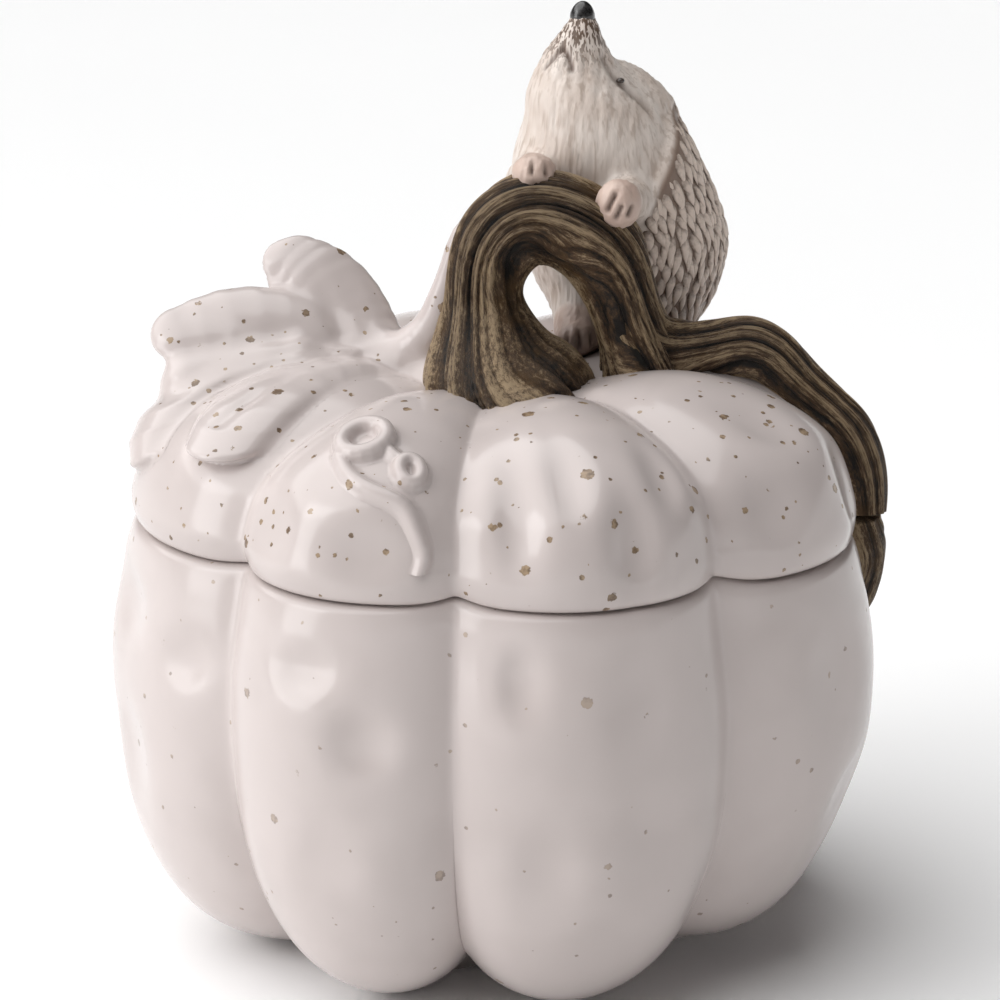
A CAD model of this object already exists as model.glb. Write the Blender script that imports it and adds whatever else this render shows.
import math

import bpy
import numpy as np
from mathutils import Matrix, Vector


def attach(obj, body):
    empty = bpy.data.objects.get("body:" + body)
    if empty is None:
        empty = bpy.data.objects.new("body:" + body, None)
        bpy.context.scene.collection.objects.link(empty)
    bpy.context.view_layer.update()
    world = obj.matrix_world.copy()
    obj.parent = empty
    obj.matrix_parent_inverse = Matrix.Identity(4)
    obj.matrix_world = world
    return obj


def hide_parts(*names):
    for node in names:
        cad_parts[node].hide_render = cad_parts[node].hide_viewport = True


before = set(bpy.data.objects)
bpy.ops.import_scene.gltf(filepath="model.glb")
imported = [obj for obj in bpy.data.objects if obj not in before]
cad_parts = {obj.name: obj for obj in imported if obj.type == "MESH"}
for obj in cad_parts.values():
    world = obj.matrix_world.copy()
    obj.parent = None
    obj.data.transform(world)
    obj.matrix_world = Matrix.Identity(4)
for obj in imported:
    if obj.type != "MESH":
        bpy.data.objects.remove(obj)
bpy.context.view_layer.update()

# Shapes are worked out in millimetres and become metres when a mesh is made. The origin is the middle of
# the foot, +Z is up and the front faces -Y. An azimuth is in degrees from the front towards the right (+X).
MM = 0.001
JAR_BODY = "jar"
LID_BODY = "lid"
FAR = 1e9

# --- driving dimensions ----------------------------------------------------------------------------------
SEAM_Z = 126.0
LID_BASE_Z = SEAM_Z + 0.4
MOUTH_RADIUS = 83.0
RING_OUTER_RADIUS = 81.2
RING_INNER_RADIUS = 76.0
RING_BOTTOM_Z = SEAM_Z - 9.0
# How fine the meshes of the jar and lid are.
POINTS_PER_LOBE, WALL_ROWS = 56, 170

GROOVES = np.array([-98.0, -46.0, -7.0, 37.5, 87.0, 132.0, 175.0, 219.0, 262.0])
GROOVE_SHARPNESS = 0.6
GROOVE_SOFTNESS = 0.09
# How far each lobe of the jar swells low down.
LOBE_FULLNESS = np.array([3.4, 3.6, 3.7, -2.4, 0.0, 0.0, 0.0, 0.0])

FOOT_RECESS_RADIUS = 36.0
FOOT_RECESS_HEIGHT = 2.0

# Profiles over a lobe's crest: (radius, height, depth of the grooves). The lid's heights are over its base.
JAR_FOOT = ((37.0, 0.0, 0.0), (44.0, 0.0, 5.0), (50.0, 0.0, 10.0))
JAR_OUTSIDE = (
    (54.0, 0.2, 12.0), (65.0, 3.6, 13.0), (79.5, 9.0, 14.0), (91.0, 18.5, 14.0), (99.0, 31.0, 13.5),
    (106.0, 48.0, 13.5), (109.3, 67.0, 13.5), (110.0, 94.0, 13.5), (106.3, 114.0, 13.0),
    (104.7, 122.5, 13.0), (103.2, 125.4, 13.0), (101.0, SEAM_Z, 12.5),
)
JAR_INSIDE = (
    (MOUTH_RADIUS + 1.2, SEAM_Z, 0.0), (MOUTH_RADIUS, 124.5, 0.0), (MOUTH_RADIUS + 1.0, 120.5, 0.0),
    (91.0, 115.0, 4.0), (99.0, 108.0, 9.0), (103.5, 94.0, 11.0), (103.0, 67.0, 11.0), (99.5, 48.0, 11.0),
    (92.0, 32.0, 11.0), (84.0, 20.0, 11.0), (73.0, 11.0, 10.0), (58.0, 7.0, 8.0), (30.0, 6.2, 2.0),
    (4.0, 6.0, 0.0),
)
LID_OUTSIDE = (
    (101.0, 0.0, 12.5), (102.6, 0.8, 13.0), (103.6, 2.6, 13.0), (104.2, 5.5, 13.0), (103.4, 10.5, 13.0),
    (100.8, 17.0, 12.5), (96.5, 23.5, 12.0), (89.0, 29.5, 11.0), (79.0, 34.2, 9.5), (66.0, 37.6, 8.0),
    (50.0, 39.0, 6.0), (36.0, 37.2, 4.0), (24.0, 34.5, 2.5), (14.0, 33.0, 1.0), (4.0, 32.4, 0.0),
)
LID_INSIDE = (
    (RING_INNER_RADIUS, 0.0, 0.0), (78.0, 9.0, 2.0), (78.0, 17.0, 4.0), (73.0, 25.5, 5.0),
    (63.0, 30.6, 5.0), (50.0, 32.4, 4.5), (36.0, 31.0, 3.0), (24.0, 28.4, 2.0), (14.0, 27.0, 1.0),
    (4.0, 26.4, 0.0),
)
# Thumb dents in the soft clay: (azimuth, height, half width, half height, depth).
JAR_DENTS = (
    (-19.5, 88.0, 8.5, 8.5, 2.0), (3.2, 106.0, 5.5, 9.5, 1.5), (20.0, 98.0, 9.0, 13.0, 0.9),
    (-28.0, 106.0, 8.5, 6.5, 1.2), (-24.5, 56.0, 8.5, 10.0, 1.0), (6.5, 54.0, 8.0, 11.0, 1.1),
    (-54.0, 97.0, 8.0, 8.0, 1.2), (-72.0, 104.0, 12.0, 9.0, 1.6), (-70.0, 60.0, 11.0, 15.0, 1.4),
    (22.0, 60.0, 9.0, 12.0, 1.0), (56.0, 92.0, 12.0, 14.0, 1.5), (66.0, 52.0, 11.0, 11.0, 1.4),
    (108.0, 84.0, 13.0, 13.0, 1.9), (118.0, 50.0, 10.0, 12.0, 1.3), (154.0, 96.0, 12.0, 15.0, 1.7),
    (150.0, 48.0, 13.0, 10.0, 1.5), (196.0, 78.0, 12.0, 14.0, 1.9), (203.0, 108.0, 9.0, 8.0, 1.2),
    (240.0, 88.0, 12.0, 12.0, 1.6), (246.0, 50.0, 11.0, 12.0, 1.4),
)
LID_DENTS = (
    (3.0, 147.0, 6.0, 11.0, 1.9), (20.0, 141.0, 6.0, 10.0, 1.9), (28.0, 152.0, 5.0, 6.0, 1.3),
    (11.0, 154.0, 5.0, 7.0, 1.2),
    (-20.0, 138.0, 10.0, 7.0, 1.3), (-38.0, 140.0, 9.0, 8.0, 1.2), (48.0, 143.0, 8.0, 9.0, 1.2),
    (70.0, 141.0, 9.0, 9.0, 1.4), (58.0, 158.0, 8.0, 5.0, 1.0), (108.0, 145.0, 10.0, 10.0, 1.6),
    (150.0, 142.0, 11.0, 9.0, 1.5), (160.0, 157.0, 9.0, 6.0, 1.1), (196.0, 144.0, 11.0, 10.0, 1.5),
    (238.0, 141.0, 10.0, 9.0, 1.4),
)

# How far the outer rim hangs below its level seat: (azimuth, amount). The sag fades away over SAG_REACH
# above and below the seam, and from SAG_FULL_RADIUS in to the mouth.
SAG_REACH = 24.0
SAG_FULL_RADIUS = 98.0
SEAM_SAG = (
    (-110.0, 0.0), (-80.0, 1.5), (-55.0, 2.4), (-20.0, 2.9), (10.0, 3.6), (34.0, 3.6), (48.0, 5.0),
    (70.0, 5.6), (84.0, 4.5), (120.0, 0.0),
)

# How much the fibres of the stem's material are squeezed lengthwise.
GRAIN_SQUEEZE = 0.08
# Routes are (x, y, z, radius) along the middle of each round limb.
STEM_ROUTE = (
    (2.0, 0.0, 152.5, 21.0), (1.0, 0.0, 159.0, 19.8), (-1.5, 0.0, 166.0, 16.4), (-3.6, 0.0, 174.0, 12.9),
    (-4.6, 0.0, 182.0, 10.8), (-3.6, 0.2, 190.0, 10.8), (-0.4, 0.4, 197.5, 12.0), (5.0, 0.6, 203.0, 12.5),
    (12.5, 1.0, 204.8, 12.5), (20.5, 1.2, 202.6, 12.3), (27.4, 1.5, 196.5, 11.9), (32.0, 2.0, 187.5, 10.8),
    (35.2, 2.5, 178.5, 10.0), (38.4, 2.8, 169.5, 10.4), (40.4, 3.0, 160.0, 12.5), (41.0, 3.0, 155.0, 14.0),
)
VINE_ROUTE = (
    (35.0, 2.8, 181.0, 7.0), (38.2, 3.2, 173.2, 9.0), (45.0, 3.8, 167.6, 8.9), (53.5, 4.0, 166.3, 8.2),
    (62.0, 4.0, 166.8, 8.0), (69.5, 3.6, 167.3, 8.6), (76.5, 2.8, 164.6, 8.0), (83.0, 1.2, 159.0, 6.9),
    (92.0, -1.6, 151.4, 6.2), (99.0, -4.6, 143.4, 6.6), (102.8, -6.8, 134.0, 6.0), (103.6, -8.0, 126.6, 5.0),
)
JAR_TAIL_ROUTE = (
    (101.6, -8.0, 125.9, 5.2), (102.0, -7.0, 120.0, 6.4), (102.2, -4.0, 110.0, 7.2),
    (101.0, -1.0, 99.0, 6.8), (98.5, 1.0, 90.0, 4.6), (96.5, 2.0, 85.0, 1.2),
)
# How deep the tail sits in the jar's wall.
TAIL_SINK = 2.5
# Undersides of what stands on the lid's flat middle, inside the lid's wall.
LEFT_FOOT_BASE_Z = 158.7
LID_WALL_MIDDLE_Z = 159.2
LID_MIDDLE_RADIUS = 66.0

# --- leaf, stalk and tendril -----------------------------------------------------------------------------
# Each blade is a flattened limb: its route, the way it is thin, and how many times thinner it is.
LEAF_BLADES = (
    (((-36.0, 9.0, 164.0, 9.0), (-48.0, 15.0, 174.0, 9.5), (-55.5, 18.5, 182.5, 9.5),
      (-60.0, 20.0, 187.5, 7.0)), (0.1, -0.85, 0.5), 2.8),
    (((-33.0, 7.0, 164.0, 8.0), (-41.5, 13.0, 173.5, 11.5), (-49.5, 17.5, 182.5, 11.0),
      (-55.5, 20.0, 188.0, 7.5)), (0.25, -0.85, 0.45), 2.9),
    (((-40.0, 6.0, 167.0, 9.0), (-57.0, 7.0, 171.5, 11.0), (-74.0, 5.0, 174.0, 11.0),
      (-89.0, 2.0, 171.5, 8.5)), (-0.1, -0.7, 0.7), 2.2),
)
# Blades that lie on the lid: (x, y, height above the lid, radius), and how many times thinner they are.
LAID_BLADES = (
    (((-46.0, 2.0, 0.5, 9.0), (-66.0, -2.0, 0.5, 12.5), (-83.0, -6.0, 0.5, 13.0),
      (-90.5, -14.0, -0.6, 12.0), (-93.0, -25.0, -4.5, 9.0)), 2.8),
    (((-34.0, -2.0, -0.3, 6.0), (-46.0, -13.0, -0.4, 8.0), (-58.0, -24.0, -0.5, 11.5),
      (-66.5, -35.0, -0.6, 13.0), (-72.5, -47.0, -0.8, 11.5)), 4.2),
)
# Round limbs that fill the leaf's underside down to the lid.
LEAF_BACKING = (
    ((-44.0, 12.0, 162.0, 9.0), (-54.0, 18.0, 168.0, 7.0)),
    ((-58.0, -2.0, 161.5, 10.0), (-85.0, -5.0, 157.5, 9.5)),
    ((-34.0, 4.0, 159.5, 8.5), (-22.0, 1.0, 157.5, 9.0), (-16.0, -6.0, 157.0, 8.5)),
)
STALK_ROUTE = (
    (-38.0, 9.0, 161.0, 7.0), (-29.5, 5.0, 162.5, 8.0), (-22.0, 2.0, 168.0, 7.0), (-17.6, 1.0, 176.0, 5.0),
    (-15.8, 0.0, 183.0, 3.8), (-14.2, 0.0, 188.5, 3.1), (-12.9, 0.0, 195.5, 2.3), (-8.5, 0.0, 204.5, 1.6),
    (-5.0, 0.0, 208.0, 1.0),
)
# Creases pressed into the leaf: points, half width and depth.
DEEPEST_CREASE = 2.5
LEAF_CREASES = (
    (((-58.0, 12.0, 195.0), (-52.0, 10.0, 189.0), (-47.0, 7.0, 180.0), (-44.0, 3.0, 172.0)), 1.9, 1.6),
    (((-44.0, 12.0, 190.0), (-40.0, 8.0, 181.0), (-36.0, 3.0, 173.0)), 2.4, 0.9),
    (((-88.0, 2.0, 179.0), (-74.0, -2.0, 177.0), (-60.0, -3.0, 172.0)), 2.2, 0.9),
    (((-92.0, -20.0, 161.0), (-80.0, -17.0, 167.0), (-66.0, -13.0, 171.0), (-48.0, -6.0, 171.0)),
     2.0, 1.4),
    (((-74.0, -45.0, 157.0), (-66.0, -35.0, 164.5), (-58.0, -24.0, 169.5), (-46.0, -12.0, 172.0)),
     1.5, 1.0),
    (((-84.0, -36.0, 157.0), (-74.0, -28.0, 164.5), (-62.0, -20.0, 170.0)), 1.6, 0.7),
)
# Rings of the tendril: middle (x, y), half width, half depth, cord radius.
TENDRIL_LARGE = ((-35.1, -72.2), 5.9, 6.2, 2.4)
TENDRIL_SMALL = ((-22.9, -83.0), 2.8, 3.2, 1.8)
# Cords that lie on the lid: (x, y, radius).
TENDRIL_TAIL = (
    (-41.5, -76.0, 1.6), (-39.0, -83.0, 1.9), (-31.5, -88.8, 2.1), (-25.0, -90.9, 2.1),
    (-20.8, -93.4, 2.0), (-19.2, -94.6, 1.8), (-20.6, -96.4, 1.2),
)
TENDRIL_LINK = ((-29.5, -76.0, 1.6), (-27.0, -79.0, 1.5), (-24.5, -80.5, 1.4))

# --- hedgehog --------------------------------------------------------------------------------------------
# Level ovals of the body: (z, centre x, centre y, half width, half depth).
TORSO_SECTIONS = (
    (155.0, 36.0, 40.0, 7.0, 7.0), (158.0, 36.0, 40.3, 11.0, 11.0), (164.0, 35.8, 41.5, 16.0, 16.0),
    (171.0, 36.0, 42.5, 21.5, 21.0), (180.0, 35.5, 43.0, 26.0, 24.5), (193.0, 34.0, 42.5, 28.5, 26.0),
    (207.0, 30.5, 41.0, 27.0, 24.5), (219.0, 28.5, 39.5, 23.5, 22.0), (226.0, 27.3, 38.5, 20.3, 19.5),
    (232.0, 25.3, 37.7, 17.8, 17.0), (240.0, 22.6, 36.2, 12.4, 11.8), (247.0, 22.2, 35.0, 8.0, 7.8),
    (253.5, 23.3, 34.2, 4.2, 4.4), (256.5, 23.4, 34.0, 2.6, 2.6),
)
NOSE_CENTRE = np.array([23.4, 34.0, 256.2])
FACE_AZIMUTH = 155.0
BELLY_AZIMUTH = FACE_AZIMUTH - 180.0
EAR_TURN, EAR_HEIGHT, EAR_SIZE = 46.0, 226.5, (4.4, 4.4, 5.0)
EYE_TURNS, EYE_HEIGHT, EYE_SIZE = (("right", -103.0), ("left", 84.0)), 238.0, (1.15, 1.15, 0.8)
# Paws: (middle, half sizes).
PAWS = (
    ((9.6, 2.0, 217.0), (6.2, 6.0, 5.2)), ((32.8, -4.5, 209.6), (6.4, 6.0, 6.8)),
    ((22.6, 22.5, 166.0), (6.8, 9.0, 5.6)), ((43.5, 21.5, 166.5), (6.8, 9.0, 5.6)),
)
ARMS = (
    ((8.5, 30.0, 207.0, 7.0), (8.5, 20.0, 212.0, 6.2), (9.4, 8.0, 216.2, 5.2)),
    ((38.0, 24.0, 203.0, 7.0), (36.0, 13.0, 207.0, 6.0), (33.6, 2.0, 209.4, 5.2)),
)
LEGS = (
    ((27.0, 34.0, 172.0, 11.0), (23.5, 27.0, 168.0, 8.0)),
    ((44.0, 33.0, 173.0, 11.0), (43.5, 26.0, 168.5, 8.0)),
)
FOREHEAD = (
    (36.0, 44.0, 221.0, 16.5), (35.6, 43.5, 227.0, 12.5), (33.6, 42.5, 232.5, 8.8), (29.8, 40.5, 237.6, 5.0),
)
# Where the quilled coat begins, in degrees from the belly: (height, angle). On the left it begins
# COAT_TURN later.
COAT_EDGE = (
    (160, 74), (168, 60), (182, 34), (194, 33), (204, 40), (210, 52), (219, 72), (226, 95), (234, 150),
)
COAT_TURN = 50.0
COAT_THICKNESS = 2.4
# Lines carved in the face: points as (azimuth, z) on the body, half width, depth, darkness.
FACE_LINES = (
    (((-56.0, 241.4), (-47.0, 243.6), (-36.0, 247.0)), 0.5, 0.7, 0.75),
    (((-36.0, 247.0), (-22.0, 245.8), (-10.0, 241.6)), 0.6, 0.8, 0.85),
    (((48.0, 244.0), (47.0, 239.6), (52.0, 234.3), (58.0, 229.6)), 0.9, 0.9, 0.5),
)
# Slits between the toes of the forepaws: upper point, lower point, half width and depth.
FOREPAW_SLITS = (
    ((9.0, -3.5, 221.5), (8.9, -3.5, 218.0), 0.45, 1.3),
    ((12.9, -3.5, 220.8), (13.0, -3.5, 217.4), 0.45, 1.3),
    ((31.6, -10.0, 213.4), (29.4, -10.0, 208.8), 0.5, 1.4),
    ((33.4, -10.0, 210.0), (32.0, -10.0, 206.8), 0.45, 1.2),
    ((36.4, -10.0, 209.8), (35.4, -10.0, 207.4), 0.45, 1.0),
)
# The same on the hind feet, as (upper x, lower x, y, upper z, lower z).
HIND_SLITS = (
    (19.0, 18.8, 13.8, 169.0, 163.5), (22.6, 22.6, 13.4, 169.4, 163.5), (26.2, 26.4, 13.8, 169.0, 163.5),
    (40.0, 40.0, 13.0, 169.5, 164.0), (43.6, 43.6, 12.6, 169.8, 164.0), (47.2, 47.2, 13.0, 169.5, 164.0),
)
TOE_SLITS = FOREPAW_SLITS + tuple(
    ((upper_x, y, upper_z), (lower_x, y, lower_z), 0.45, 1.3)
    for upper_x, lower_x, y, upper_z, lower_z in HIND_SLITS)

QUILL_ROWS, QUILL_FIRST_Z, QUILL_ROW_GAP, QUILL_SPACING = 20, 168.0, 3.4, 3.0
QUILL_ROOT_DEPTH = 0.9
QUILLED_SHARE = 0.2  # how far into the coat's edge, as back_share, the quills begin
QUILL_RINGS, QUILL_SIDES = 9, 8
QUILL_WIDTHS = np.array([0.55, 0.85, 1.0, 1.0, 0.92, 0.76, 0.55, 0.3, 0.04])


# --- colours ---------------------------------------------------------------------------------------------
GLAZE_LIGHT, GLAZE_SHADE = (0.57, 0.505, 0.487), (0.53, 0.468, 0.45)
SPECK_DARK, SPECK_LIGHT = (0.13, 0.082, 0.05), (0.34, 0.245, 0.155)
STAIN_BLACK, STAIN_BROWN = (0.005, 0.003, 0.0015), (0.085, 0.045, 0.019)
STAIN_OCHRE, STAIN_TAN = (0.11, 0.055, 0.012), (0.43, 0.31, 0.185)
FUR_SHADE, FUR_LIGHT = (0.60, 0.51, 0.45), (0.69, 0.615, 0.56)
FUR_STROKE, FUR_MUZZLE = (0.36, 0.27, 0.215), (0.12, 0.078, 0.055)
PAW_SHADE, PAW_LIGHT = (0.47, 0.345, 0.29), (0.56, 0.43, 0.365)
CARVED_BROWN, COAT_BROWN = (0.10, 0.058, 0.04), (0.22, 0.155, 0.12)
QUILL_ROOT, QUILL_TOP = (0.11, 0.075, 0.058), (0.66, 0.55, 0.475)
NOSE_COLOURS = ((0.012, 0.011, 0.011), (0.045, 0.042, 0.042))
EYE_COLOURS = ((0.018, 0.010, 0.007), (0.06, 0.04, 0.03))
CLAY_LIGHT, CLAY_SHADE = (0.72, 0.66, 0.58), (0.66, 0.60, 0.53)
PAPER_SHADE, PAPER_LIGHT = (0.93, 0.93, 0.93), (0.95, 0.95, 0.95)


# --- numbers ---------------------------------------------------------------------------------------------
def smoothstep(value, low, high):
    share = np.clip((value - low) / (high - low), 0.0, 1.0)
    return share * share * (3.0 - 2.0 * share)


def unit(vectors):
    return vectors / np.linalg.norm(vectors, axis=-1, keepdims=True)


def circle(count):
    """Angles evenly round a full turn."""
    return np.linspace(0.0, 2.0 * math.pi, count, endpoint=False)


def spline(points, count, length_columns):
    """Natural cubic spline through rows of numbers, sampled evenly along the length of its first columns."""
    points = np.asarray(points, float)
    steps = np.linalg.norm(np.diff(points[:, :length_columns], axis=0), axis=1)
    along = np.concatenate([[0.0], np.cumsum(steps)])
    size = len(points)
    matrix = np.eye(size)
    bend = np.zeros_like(points)
    for i in range(1, size - 1):
        matrix[i, i - 1:i + 2] = (steps[i - 1], 2.0 * (steps[i - 1] + steps[i]), steps[i])
        slope_after = (points[i + 1] - points[i]) / steps[i]
        slope_before = (points[i] - points[i - 1]) / steps[i - 1]
        bend[i] = 6.0 * (slope_after - slope_before)
    bend = np.linalg.solve(matrix, bend)
    where = np.linspace(0.0, along[-1], count)
    i = np.clip(np.searchsorted(along, where, side="right") - 1, 0, size - 2)
    span = steps[i][:, None]
    ahead = (where - along[i])[:, None]
    behind = span - ahead
    curved = (bend[i] * behind ** 3 + bend[i + 1] * ahead ** 3) / (6.0 * span)
    from_start = (points[i] / span - bend[i] * span / 6.0) * behind
    from_end = (points[i + 1] / span - bend[i + 1] * span / 6.0) * ahead
    return curved + from_start + from_end


def headings(azimuth):
    """Level unit vectors at azimuths in degrees."""
    angle = np.radians(azimuth)
    return np.stack([np.sin(angle), -np.cos(angle)], axis=-1)


def azimuths(points):
    """Azimuth of each point, from its first two coordinates."""
    return np.degrees(np.arctan2(points[..., 0], -points[..., 1]))


def half_turn(azimuth):
    """The same azimuth, between -180 and 180 degrees."""
    return (azimuth + 180.0) % 360.0 - 180.0


def from_axis(points):
    return np.hypot(points[..., 0], points[..., 1])


def waves(points, size, amount, seed):
    """Smooth unevenness of hand-worked clay, about `size` from crest to crest."""
    draw = np.random.default_rng(seed)
    total = np.zeros(points.shape[:-1])
    count = 14
    for _ in range(count):
        way = draw.normal(size=3)
        way *= 2.0 * math.pi / (size * draw.uniform(0.7, 1.6) * np.linalg.norm(way))
        total += np.sin(points @ way + draw.uniform(0.0, 2.0 * math.pi))
    return total * amount * math.sqrt(2.0 / count)


# --- meshes ----------------------------------------------------------------------------------------------
def add_object(name, data):
    thing = bpy.data.objects.new(name, data)
    bpy.context.scene.collection.objects.link(thing)
    return thing


def make_object(name, points, faces, attributes=None):
    """Smooth-shaded mesh object from millimetre points, with optional per-point values for its material."""
    mesh = bpy.data.meshes.new(name)
    mesh.from_pydata((points * MM).tolist(), [], faces)
    mesh.validate()
    mesh.shade_smooth()
    for label, values in (attributes or {}).items():
        kind, target = ("FLOAT", "value") if values.ndim == 1 else ("FLOAT_VECTOR", "vector")
        layer = mesh.attributes.new(label, kind, "POINT")
        layer.data.foreach_set(target, values.astype(np.float32).ravel())
    return add_object(name, mesh)


def grid_faces(rows, columns, closed_rows=False):
    """Quads of a grid whose columns close on themselves."""
    faces = []
    for row in range(rows if closed_rows else rows - 1):
        start = row * columns
        above = ((row + 1) % rows) * columns
        for column in range(columns):
            beside = (column + 1) % columns
            faces.append((start + column, start + beside, above + beside, above + column))
    return faces


def cap_faces(columns, first, centre, flip):
    """Fan of triangles that closes the ring of points from `first` on."""
    faces = []
    for column in range(columns):
        pair = (first + column, first + (column + 1) % columns)
        faces.append((centre,) + (pair if flip else pair[::-1]))
    return faces


def with_middles(rings):
    """All points of the rings in one list, and after them the middles of the first and last ring."""
    flat = rings.reshape((-1,) + rings.shape[2:])
    return np.concatenate([flat, rings[:1].mean(axis=1), rings[-1:].mean(axis=1)])


def loops_object(name, loops, attributes=None):
    """Object from rings of points, closed at both ends with a fan."""
    rows, columns, _ = loops.shape
    faces = grid_faces(rows, columns)
    faces += cap_faces(columns, 0, rows * columns, False)
    faces += cap_faces(columns, (rows - 1) * columns, rows * columns + 1, True)
    flat = {label: with_middles(values) for label, values in (attributes or {}).items()}
    return make_object(name, with_middles(loops), faces, flat)


# --- jar and lid -----------------------------------------------------------------------------------------
def lobe_place(azimuth):
    """Number of the lobe at an azimuth, and how far across the lobe it is, as a share."""
    turned = (azimuth - GROOVES[0]) % 360.0 + GROOVES[0]
    lobe = np.clip(np.searchsorted(GROOVES, turned, side="right") - 1, 0, len(GROOVES) - 2)
    return lobe, (turned - GROOVES[lobe]) / (GROOVES[lobe + 1] - GROOVES[lobe])


def groove_dip(azimuth):
    """Nearly 1 in a groove, 0 on the crest of a lobe."""
    _, share = lobe_place(azimuth)
    swell = np.sqrt(np.sin(np.pi * share) ** 2 + GROOVE_SOFTNESS ** 2)
    return 1.0 - np.minimum(1.0, swell) ** GROOVE_SHARPNESS


def lobe_azimuths(per_lobe):
    """Azimuths round the pumpkin, closer together beside the grooves."""
    share = (1.0 - np.cos(np.pi * np.arange(per_lobe) / per_lobe)) / 2.0
    return np.concatenate([
        start + (end - start) * share for start, end in zip(GROOVES[:-1], GROOVES[1:])])


def profile_directions(profile):
    """Unit normals of a sampled profile, to the right of the way it runs."""
    tangent = unit(np.gradient(profile[:, :2], axis=0))
    return np.stack([tangent[:, 1], -tangent[:, 0]], axis=1)


def wall_directions(profile):
    """Ways in which the grooves sink into a wall: along its normals, but level beside the seam."""
    level = smoothstep(np.abs(profile[:, 1:2] - SEAM_Z), 14.0, 4.0)
    return unit(profile_directions(profile) * (1.0 - level) + np.array([1.0, 0.0]) * level)


def lobed_loops(profile, azimuth, directions):
    """Rings round the pumpkin, and the outward direction at each of their points."""
    dip = groove_dip(azimuth)[None, :] * profile[:, 2:3]
    radius = profile[:, 0:1] - directions[:, 0:1] * dip
    height = profile[:, 1:2] - directions[:, 1:2] * dip
    heading = headings(azimuth)[None]
    loops = np.concatenate([radius[..., None] * heading, height[..., None]], axis=2)
    level = np.broadcast_to(directions[:, None, 0:1] * heading, loops.shape[:2] + (2,))
    upright = np.broadcast_to(directions[:, None, 1:2], loops.shape[:2] + (1,))
    return loops, np.concatenate([level, upright], axis=2)


def low_swelling(profile, azimuth):
    """How far each lobe of the jar swells out near the foot."""
    lobe, share = lobe_place(azimuth)
    around = LOBE_FULLNESS[lobe] * np.sin(np.pi * share) ** 0.45
    upward = smoothstep(profile[:, 1], 75.0, 30.0) * smoothstep(profile[:, 0], 54.0, 70.0)
    return upward[:, None] * around[None, :]


def dent_depth(points, dents):
    """How deep the soft thumb dents press in at points near the surface."""
    radius = from_axis(points)
    azimuth = azimuths(points)
    press = np.zeros(radius.shape)
    for at, height, half_width, half_height, depth in dents:
        across = np.radians(half_turn(azimuth - at)) * radius
        up = points[..., 2] - height
        press += 1.6 * depth * np.exp(-((across / half_width) ** 2 + (up / half_height) ** 2) ** 1.3)
    return press


def seam_sag(points):
    """How far the jar's and the lid's outer rims hang, with the mouth inside them left level."""
    hang = np.interp(half_turn(azimuths(points)), *np.transpose(SEAM_SAG))
    near = smoothstep(np.abs(points[..., 2] - SEAM_Z), SAG_REACH, 0.5)
    outer = smoothstep(from_axis(points), MOUTH_RADIUS + 1.0, SAG_FULL_RADIUS)
    return hang * near * outer


def lid_unevenness(points):
    """Outward offset of the lid's surface from its plain lobes."""
    fade = smoothstep(points[..., 2] - LID_BASE_Z, 1.0, 8.0)
    return waves(points, 46.0, 0.3, 4) * fade - dent_depth(points, LID_DENTS)


def jar_unevenness(points):
    """Outward offset of the jar's surface from its plain lobes."""
    fade = smoothstep(points[..., 2], 2.0, 12.0) * smoothstep(SEAM_Z - points[..., 2], 1.0, 10.0)
    return waves(points, 52.0, 0.35, 3) * fade - dent_depth(points, JAR_DENTS)


def inner_loops(profile, azimuth):
    return lobed_loops(profile, azimuth, -profile_directions(profile))[0]


def make_jar():
    azimuth = lobe_azimuths(POINTS_PER_LOBE)
    outside = spline(JAR_OUTSIDE, WALL_ROWS, 2)
    loops, outward = lobed_loops(outside, azimuth, wall_directions(outside))
    loops += outward * (jar_unevenness(loops) + low_swelling(outside, azimuth))[..., None]
    foot, _ = lobed_loops(np.array(JAR_FOOT), azimuth, np.tile([1.0, 0.0], (len(JAR_FOOT), 1)))
    level = np.full((len(azimuth), 1), FOOT_RECESS_HEIGHT)
    recess = np.concatenate([headings(azimuth) * FOOT_RECESS_RADIUS, level], axis=1)[None]
    rings = np.concatenate([recess, foot, loops, inner_loops(spline(JAR_INSIDE, 90, 2), azimuth)])
    rings[..., 2] -= seam_sag(rings)
    return loops_object("jar", rings)


def make_lid_shell():
    azimuth = lobe_azimuths(POINTS_PER_LOBE)
    outside = lid_profile(LID_OUTSIDE, WALL_ROWS)
    loops, outward = lobed_loops(outside, azimuth, wall_directions(outside))
    loops += outward * lid_unevenness(loops)[..., None]
    rings = np.concatenate([inner_loops(lid_profile(LID_INSIDE, 60)[::-1], azimuth), loops])
    rings[..., 2] -= seam_sag(rings)
    return loops_object("lid_dome", rings)


def lid_profile(rows, count):
    profile = spline(rows, count, 2)
    profile[:, 1] += LID_BASE_Z
    return profile


def make_locating_ring():
    """Ring under the lid: a rectangle with worn lower edges, turned about the axis."""
    edge, worn = 0.8, 0.25
    top = LID_BASE_Z - 0.02
    corners = (
        (RING_INNER_RADIUS, top), (RING_INNER_RADIUS, RING_BOTTOM_Z + edge),
        (RING_INNER_RADIUS + worn, RING_BOTTOM_Z + worn), (RING_INNER_RADIUS + edge, RING_BOTTOM_Z),
        (RING_OUTER_RADIUS - edge, RING_BOTTOM_Z), (RING_OUTER_RADIUS - worn, RING_BOTTOM_Z + worn),
        (RING_OUTER_RADIUS, RING_BOTTOM_Z + edge), (RING_OUTER_RADIUS, top),
    )
    columns = 256
    around = headings(np.linspace(0.0, 360.0, columns, endpoint=False))
    rings = [np.column_stack([around * radius, np.full(columns, height)]) for radius, height in corners]
    return make_object("lid_ring", np.concatenate(rings), grid_faces(len(rings), columns, closed_rows=True))


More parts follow.
